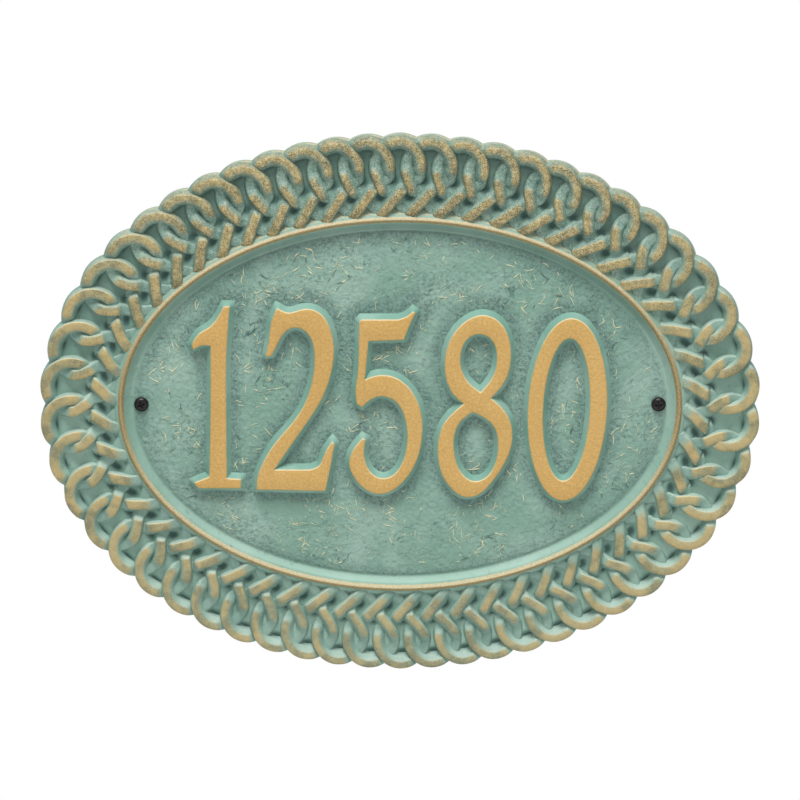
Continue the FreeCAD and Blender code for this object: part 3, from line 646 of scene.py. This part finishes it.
def smooth_side(points, closed):
    """Points about a millimetre apart along a smooth curve through the given points, and the
    direction of travel at each."""
    points = np.array(points, dtype=float)
    spans = np.hypot(*np.diff(points, axis=0).T)
    if len(points) == 2:
        count = max(2, int(spans[0] / 1.2) + 1)
        share = np.linspace(0, 1, count)[:, None]
        way = (points[1] - points[0]) / spans[0]
        return points[0] + (points[1] - points[0]) * share, np.tile(way, (count, 1))
    if closed:
        points = np.concatenate([points[-4:-1], points, points[1:4]])
        spans = np.hypot(*np.diff(points, axis=0).T)
    knots = np.concatenate([[0.0], np.cumsum(spans)])
    size = len(points)
    matrix, right = np.zeros((size, size)), np.zeros((size, 2))
    matrix[0, 0] = matrix[-1, -1] = 1.0
    for i in range(1, size - 1):
        matrix[i, i - 1], matrix[i, i + 1] = spans[i - 1], spans[i]
        matrix[i, i] = 2 * (spans[i - 1] + spans[i])
        right[i] = 6 * ((points[i + 1] - points[i]) / spans[i]
                        - (points[i] - points[i - 1]) / spans[i - 1])
    bend = np.linalg.solve(matrix, right)
    low, high = (knots[3], knots[-4]) if closed else (knots[0], knots[-1])
    at = np.linspace(low, high, max(4, int((high - low) / 1.1)))
    span = np.clip(np.searchsorted(knots, at, side="right") - 1, 0, size - 2)
    a = ((knots[span + 1] - at) / spans[span])[:, None]
    b = 1 - a
    h = spans[span][:, None]
    spot = (a * points[span] + b * points[span + 1]
            + ((a ** 3 - a) * bend[span] + (b ** 3 - b) * bend[span + 1]) * h * h / 6)
    way = ((points[span + 1] - points[span]) / h
           + ((1 - 3 * a * a) * bend[span] + (3 * b * b - 1) * bend[span + 1]) * h / 6)
    return spot, way / np.hypot(way[:, 0], way[:, 1])[:, None]


def outline_with_mitres(sides):
    """Points of a closed outline and, at each, the step that moves its sides out by 1 mm."""
    closed = len(sides) == 1 and len(sides[0]) > 20
    curves = [smooth_side(side, closed) for side in sides]
    spots, steps_out = [], []
    for number, (spot, way) in enumerate(curves):
        before = curves[number - 1][1][-1]
        for place in range(len(spot) - 1):
            way_in = before if place == 0 else way[place]
            out = np.array([way_in[1] + way[place][1], -way_in[0] - way[place][0]])
            spots.append(spot[place])
            steps_out.append(out * 2 / max(out @ out, 1.6))
    spots, steps_out = np.array(spots), np.array(steps_out)
    area = np.sum(spots[:, 0] * np.roll(spots[:, 1], -1) - np.roll(spots[:, 0], -1) * spots[:, 1])
    return spots, steps_out if area > 0 else -steps_out


DIGIT_PROFILE = ((3.0, -0.45), (2.62, 0.0), (2.3, 0.5), (1.4, 2.3), (0.42, 4.25), (0.12, 4.72),
                 (-0.12, 4.9), (-0.45, DIGIT_RISE))
row_width = sum(width for _, width, _ in NUMBER) + DIGIT_GAP * (len(NUMBER) - 1)
cursor = -row_width / 2
digit_pieces, foot_outlines = [], []
FOOT_REACH = 3.2
for name, width, outlines in NUMBER:
    corner = np.array([cursor, ROW_HEIGHT - (cursor + width / 2) * ROW_DROP - DIGIT_HEIGHT / 2])
    shape = bmesh.new()
    rims = []
    for number, sides in enumerate(outlines):
        spots, out = outline_with_mitres(sides)
        sign = 1.0 if number == 0 else -1.0
        foot_outlines.append((spots + out * FOOT_REACH * sign + corner, number == 0))
        rows = []
        for outward, rise in DIGIT_PROFILE:
            place = (spots + out * outward * sign + corner) * MM
            rows.append([shape.verts.new((x, -(GROUND + rise) * MM, z)) for x, z in place])
        for low, high in zip(rows, rows[1:]):
            for i in range(len(low)):
                j = (i + 1) % len(low)
                shape.faces.new((low[i], low[j], high[j], high[i]))
        top = rows[-1]
        rims.append([shape.edges.get((top[i], top[(i + 1) % len(top)])) for i in range(len(top))])
    bmesh.ops.triangle_fill(shape, use_beauty=True, use_dissolve=False,
                            edges=[edge for rim in rims for edge in rim])
    bmesh.ops.recalc_face_normals(shape, faces=shape.faces[:])
    if sum(face.normal.y * face.calc_area() for face in shape.faces) > 0:
        bmesh.ops.reverse_faces(shape, faces=shape.faces[:])
    for face in shape.faces:
        face.smooth = True
    digit_pieces.append(add_shape("digit_" + name, shape))
    cursor += width + DIGIT_GAP

m = Nodes("gold_digits")
WALL_TEAL, PALE_WALL_TEAL = (0.19, 0.365, 0.295), (0.27, 0.445, 0.37)
NUMBER_GOLD, WARM_GOLD, EDGE_HIGHLIGHT_GOLD = (0.560, 0.340, 0.097), (0.595, 0.372, 0.117), (0.86, 0.74, 0.46)
DARK_SAND, LIGHT_SAND = (0.44, 0.26, 0.08), (0.80, 0.60, 0.31)
height = m.height()
grain = m.noise(750, 3, 0.75)
ripple = m.noise(1.0, 3, 0.6, 0.6, place=m.stretched((260, 700, 900)))
blotch = m.noise(30, 4, 0.6)
wall = m.mix(m.ramp(blotch, 0.35, 0.65), WALL_TEAL, PALE_WALL_TEAL)
gold = m.mix(m.ramp(m.noise(14, 3, 0.5), 0.3, 0.7), NUMBER_GOLD, WARM_GOLD)
gold = m.mix(m.times(m.ramp(grain, 0.50, 0.40), 0.45), gold, DARK_SAND)
gold = m.mix(m.times(m.ramp(grain, 0.54, 0.64), 0.25), gold, LIGHT_SAND)
# painted highlight: the faces' upward-facing edges are painted pale
edge_light = m.times(m.ramp(m.facing_up(), 0.12, 0.45), 0.55)
gold = m.mix(edge_light, gold, EDGE_HIGHLIGHT_GOLD)
uneven = m.math("ADD", height, m.times(m.centred(m.noise(260, 3, 0.6)), 0.5))
m.put(m.shader.inputs["Base Color"], m.mix(m.ramp(uneven, 8.66, 8.80), wall, gold))
m.put(m.shader.inputs["Roughness"], m.ramp(grain, 0.3, 0.7, 0.42, 0.6))
m.shader.inputs["Specular IOR Level"].default_value = 0.4
m.put(m.shader.inputs["Normal"], m.bump(ripple, 0.0004, 0.6, m.bump(grain, 0.0004, 0.8)))
for digit in digit_pieces:
    digit.data.materials.append(m.material)
    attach(digit, "root")
    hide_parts("plaque")

# Tooling on the panel: short crooked ridges left by the carver's tool, a third of a millimetre
# high at most. Most are pale, partly rubbed gold and partly painted highlight, and some are dark,
# so they read as thin flecks between the numerals.
FLECKS, FLECK_STEPS = 880, 8
ACROSS = ((-0.40, -0.12), (-0.11, 0.27), (0.11, 0.27), (0.40, -0.12))


def under_a_digit(x, y):
    covered = 0
    for spots, outer in foot_outlines:
        x0, y0 = spots[:, 0], spots[:, 1]
        x1, y1 = np.roll(x0, -1), np.roll(y0, -1)
        spans = (y0 > y) != (y1 > y)
        hits = x < (x1 - x0) * (y - y0) / np.where(y1 == y0, 1e-9, y1 - y0) + x0
        if np.sum(spans & hits) % 2:
            covered += 1 if outer else -1
    return covered > 0


chance = np.random.RandomState(11)
mark_points, mark_faces = [], []
while len(mark_points) < FLECKS * (FLECK_STEPS + 1) * len(ACROSS):
    x, y = chance.uniform(-1, 1) * (PANEL_WIDTH - 4), chance.uniform(-1, 1) * (PANEL_HEIGHT - 4)
    heading, length = chance.uniform(0, 2 * math.pi), chance.uniform(1.8, 7.5)
    bend, twist = chance.normal(0, 0.13), chance.normal(0, 0.07)
    stretch = chance.uniform(0.45, 1.1)
    line, spot = [], np.array([x, y])
    for step in range(FLECK_STEPS + 1):
        line.append((spot.copy(), heading))
        heading += (bend + twist * (step - FLECK_STEPS // 2)) * length / FLECK_STEPS
        spot += np.array([math.cos(heading), math.sin(heading)]) * length / FLECK_STEPS
    ends = [line[0][0], line[FLECK_STEPS // 2][0], line[FLECK_STEPS][0]]
    if noise.noise(Vector((x * 0.035, y * 0.035, 9.0))) < chance.uniform(-0.45, 0.10):
        continue
    if any((a / (PANEL_WIDTH - 3)) ** 2 + (b / (PANEL_HEIGHT - 3)) ** 2 > 1 or under_a_digit(a, b)
           or math.hypot(abs(a) - HOLE_X, b) < 5.5 for a, b in ends):
        continue
    first = len(mark_points)
    for step, (spot, turned) in enumerate(line):
        full = math.sin(math.pi * (step + 0.35) / 8.7) ** 0.6 * stretch
        for offset, rise in ACROSS:
            mark_points.append((spot[0] - math.sin(turned) * offset * full,
                                spot[1] + math.cos(turned) * offset * full,
                                GROUND + (rise * full if rise > 0 else -0.25)))
    wide = len(ACROSS)
    for step in range(FLECK_STEPS):
        for side in range(wide):
            a, b = first + step * wide + side, first + step * wide + (side + 1) % wide
            mark_faces.append((a, b, b + wide, a + wide)[::-1])
    mark_faces.append(tuple(first + i for i in range(wide)))
    mark_faces.append(tuple(first + FLECK_STEPS * wide + i for i in range(wide))[::-1])
marks = add_mesh("panel_tooling", mark_points, mark_faces)

m = Nodes("pale_tooling")
FLECK_TEAL, RUB_AND_HIGHLIGHT_FLECK, DARK_FLECK = (0.22, 0.36, 0.29), (0.73, 0.69, 0.45), (0.075, 0.145, 0.125)
# pale flecks: partly gold rubbed on the ridges, partly painted highlight
pale = m.ramp(m.noise(120, 3, 0.7), 0.42, 0.56)
pale = m.times(pale, m.ramp(m.noise(1300, 2, 0.6), 0.30, 0.50))
dark = m.ramp(m.noise(95, 2, 0.6), 0.56, 0.64)
colour = m.mix(pale, FLECK_TEAL, RUB_AND_HIGHLIGHT_FLECK)
m.put(m.shader.inputs["Base Color"], m.mix(dark, colour, DARK_FLECK))
m.shader.inputs["Roughness"].default_value = 0.55
m.shader.inputs["Specular IOR Level"].default_value = 0.35
marks.data.materials.append(m.material)
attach(marks, "root")
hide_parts("plaque")

# how deep the patina and painted shade lie on the panel: thick against a numeral or the rim, none about
# 12 mm away except for a little towards the plaque's top
near = KDTree(sum(len(spots) for spots, _ in foot_outlines))
for number, spot in enumerate(np.concatenate([spots for spots, _ in foot_outlines])):
    near.insert((spot[0], spot[1], 0), number)
near.balance()
patina_and_shade_depth = []
for vertex in body.data.vertices:
    x, y = vertex.co.x / MM, vertex.co.z / MM
    to_digit = near.find((x, y, 0))[2]
    to_rim = (1 - math.hypot(x / PANEL_WIDTH, y / PANEL_HEIGHT)) * PANEL_HEIGHT
    from_above = 0.22 * ease((y - 10.0) / 70.0)
    patina_and_shade_depth.append(max(1 - to_digit / 11.0, (1 - to_rim / 14.0) * 0.8, 0.0) + from_above)
layer = body.data.attributes.new("patina_and_shade", "FLOAT", "POINT")
layer.data.foreach_set("value", patina_and_shade_depth)

# Mounting screws: two black pan heads with a cross recess, and a threaded, pointed shank that
# goes through the panel into the wall.
SHANK_RADIUS, CORE_RADIUS, THREAD_PITCH = 2.1, 1.5, 1.75
NECK_RADIUS, SHANK_END, POINT_START, THREAD_START = 1.8, -21.0, -15.0, -0.5
HEAD_PROFILE = ((0.0, GROUND - 0.4), (3.4, GROUND - 0.4), (3.4, GROUND), (3.9, GROUND),
                (4.0, GROUND + 0.15), (4.0, GROUND + 0.8), (3.86, GROUND + 1.2),
                (3.5, GROUND + 1.75), (2.9, GROUND + 2.2), (2.0, GROUND + 2.5),
                (1.0, GROUND + 2.6), (0.0, GROUND + 2.6))
# each blade of the cross recess: half length, half width and height, at its top and its foot
RECESS = ((2.35, 0.5, GROUND + 3.2), (1.1, 0.34, GROUND + 0.9))
TURN_STEPS, SHANK_ROWS, RIDGE_SHARE = 32, 190, 0.28
screw_pieces = []
for side, name, tilt in ((-1, "screw_left", 0.35), (1, "screw_right", 0.12)):
    head = bmesh.new()
    chain = [head.verts.new((r * MM, -h * MM, 0)) for r, h in HEAD_PROFILE[1:-1]]
    chain = [head.verts.new((0, -HEAD_PROFILE[0][1] * MM, 0))] + chain
    chain.append(head.verts.new((0, -HEAD_PROFILE[-1][1] * MM, 0)))
    links = [head.edges.new(pair) for pair in zip(chain, chain[1:])]
    bmesh.ops.spin(head, geom=chain + links, cent=(0, 0, 0), axis=(0, 1, 0), dvec=(0, 0, 0),
                   angle=2 * math.pi, steps=40, use_merge=True)
    bmesh.ops.remove_doubles(head, verts=head.verts[:], dist=0.000001)
    bmesh.ops.recalc_face_normals(head, faces=head.faces[:])
    piece = add_shape(name, head)

    # cross recess: two tapering blades cut into the head
    for quarter in (0, 1):
        angle = tilt + quarter * math.pi / 2
        blade = bmesh.new()
        corners = []
        for long_half, wide_half, h in RECESS:
            for a, b in ((-1, -1), (1, -1), (1, 1), (-1, 1)):
                x, z = a * long_half, b * wide_half
                corners.append(blade.verts.new(((x * math.cos(angle) - z * math.sin(angle)) * MM,
                                                -h * MM,
                                                (x * math.sin(angle) + z * math.cos(angle)) * MM)))
        above, below = corners[:4], corners[4:]
        blade.faces.new(above)
        blade.faces.new(below[::-1])
        for i in range(4):
            j = (i + 1) % 4
            blade.faces.new((above[i], below[i], below[j], above[j]))
        bmesh.ops.recalc_face_normals(blade, faces=blade.faces[:])
        cut_away(piece, add_shape("blade", blade))

    # shank: a screw surface whose radius follows the thread's ridge round the core
    whole = bmesh.new()
    whole.from_mesh(piece.data)
    rows = []
    for h in np.linspace(GROUND - 0.2, SHANK_END, SHANK_ROWS):
        taper = min(1.0, max(0.0, (h - SHANK_END) / (POINT_START - SHANK_END)))
        row = []
        for step in range(TURN_STEPS):
            angle = 2 * math.pi * step / TURN_STEPS
            phase = (h / THREAD_PITCH + step / TURN_STEPS) % 1.0
            ridge = max(0.0, 1 - abs(phase - 0.5) / RIDGE_SHARE)
            radius = CORE_RADIUS + (SHANK_RADIUS - CORE_RADIUS) * ridge
            blend = min(1.0, max(0.0, (THREAD_START - h) / 1.0))
            radius = (NECK_RADIUS + (radius - NECK_RADIUS) * blend) * (0.1 + 0.9 * taper)
            row.append(whole.verts.new((radius * math.cos(angle) * MM, -h * MM,
                                        radius * math.sin(angle) * MM)))
        rows.append(row)
    for above, below in zip(rows, rows[1:]):
        for i in range(TURN_STEPS):
            j = (i + 1) % TURN_STEPS
            whole.faces.new((above[i], below[i], below[j], above[j]))
    whole.faces.new(rows[0])
    whole.faces.new(rows[-1][::-1])
    bmesh.ops.recalc_face_normals(whole, faces=whole.faces[:])
    bmesh.ops.translate(whole, verts=whole.verts[:], vec=(side * HOLE_X * MM, 0, 0))
    for face in whole.faces:
        face.smooth = True
    whole.to_mesh(piece.data)
    whole.free()
    piece.data.set_sharp_from_angle(angle=math.radians(38))
    screw_pieces.append(piece)

m = Nodes("black_screw")
worn = m.ramp(m.noise(900, 3, 0.7), 0.55, 0.75)
BLACK, WORN_BLACK = (0.018, 0.016, 0.016), (0.085, 0.07, 0.065)
m.put(m.shader.inputs["Base Color"], m.mix(worn, BLACK, WORN_BLACK))
m.shader.inputs["Metallic"].default_value = 0.6
m.put(m.shader.inputs["Roughness"], m.ramp(m.noise(500, 3, 0.6), 0.3, 0.7, 0.32, 0.5))
m.put(m.shader.inputs["Normal"], m.bump(m.noise(1400, 2, 0.6), 0.0001, 0.4))
for piece in screw_pieces:
    piece.data.materials.clear()
    piece.data.materials.append(m.material)
    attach(piece, "root")
    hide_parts("mounting_screws")

# Stage: a pale floor well below, soft light from above, a white backdrop, and a far camera a
# little above the plaque.
FLOOR_HALF, FLOOR_LEVEL = 6, -0.42
floor_mesh = bpy.data.meshes.new("floor")
floor_mesh.from_pydata([(x * FLOOR_HALF, y * FLOOR_HALF, FLOOR_LEVEL)
                        for x, y in ((-1, -1), (1, -1), (1, 1), (-1, 1))], [], [(0, 1, 2, 3)])
floor = add_object("floor", floor_mesh)
m = Nodes("pale_floor")
m.shader.inputs["Base Color"].default_value = (0.8, 0.8, 0.8, 1)
m.shader.inputs["Roughness"].default_value = 0.9
white = m.add("ShaderNodeEmission")
path_of = m.add("ShaderNodeLightPath")
swap = m.add("ShaderNodeMixShader")
seen = m.math("MAXIMUM", path_of.outputs["Is Camera Ray"], path_of.outputs["Is Glossy Ray"])
m.put(swap.inputs[0], seen)
m.put(swap.inputs[1], m.shader.outputs[0])
m.put(swap.inputs[2], white.outputs[0])
m.put(m.tree.nodes["Material Output"].inputs["Surface"], swap.outputs[0])
floor_mesh.materials.append(m.material)

world = bpy.data.worlds.new("studio")
bpy.context.scene.world = world
world.use_nodes = True
tree = world.node_tree
sky = tree.nodes["Background"]
sky.inputs["Color"].default_value = (1, 1, 1, 1)
light_path = tree.nodes.new("ShaderNodeLightPath")
strength = tree.nodes.new("ShaderNodeMapRange")
strength.inputs["To Min"].default_value = 0.40
strength.inputs["To Max"].default_value = 1.0
tree.links.new(light_path.outputs["Is Camera Ray"], strength.inputs["Value"])
tree.links.new(strength.outputs["Result"], sky.inputs["Strength"])

for name, place, power, width in (("key", (-0.3, -1.30, 2.85), 98.0, 1.1),
                                  ("fill", (0.5, -1.5, -0.2), 3.0, 0.9)):
    lamp = bpy.data.lights.new(name, "AREA")
    lamp.energy = power
    lamp.size = width
    holder = bpy.data.objects.new(name, lamp)
    holder.location = place
    holder.rotation_euler = (Vector((0, 0, 0)) - Vector(place)).to_track_quat("-Z", "Y").to_euler()
    bpy.context.scene.collection.objects.link(holder)

ELEVATION, DISTANCE, AIM_HEIGHT = math.radians(12.6), 2.4, 0.0014
SENSOR_WIDTH, FRAME_WIDTH = 36.0, 0.4376
camera = bpy.data.cameras.new("camera")
camera.sensor_width = SENSOR_WIDTH
camera.lens = SENSOR_WIDTH * DISTANCE / FRAME_WIDTH
view = bpy.data.objects.new("camera", camera)
target = Vector((0.0, 0, AIM_HEIGHT))
view.location = target + Vector((0, -DISTANCE * math.cos(ELEVATION), DISTANCE * math.sin(ELEVATION)))
view.rotation_euler = (target - view.location).to_track_quat("-Z", "Y").to_euler()
bpy.context.scene.collection.objects.link(view)
bpy.context.scene.camera = view
bpy.context.scene.view_settings.view_transform = "Standard"
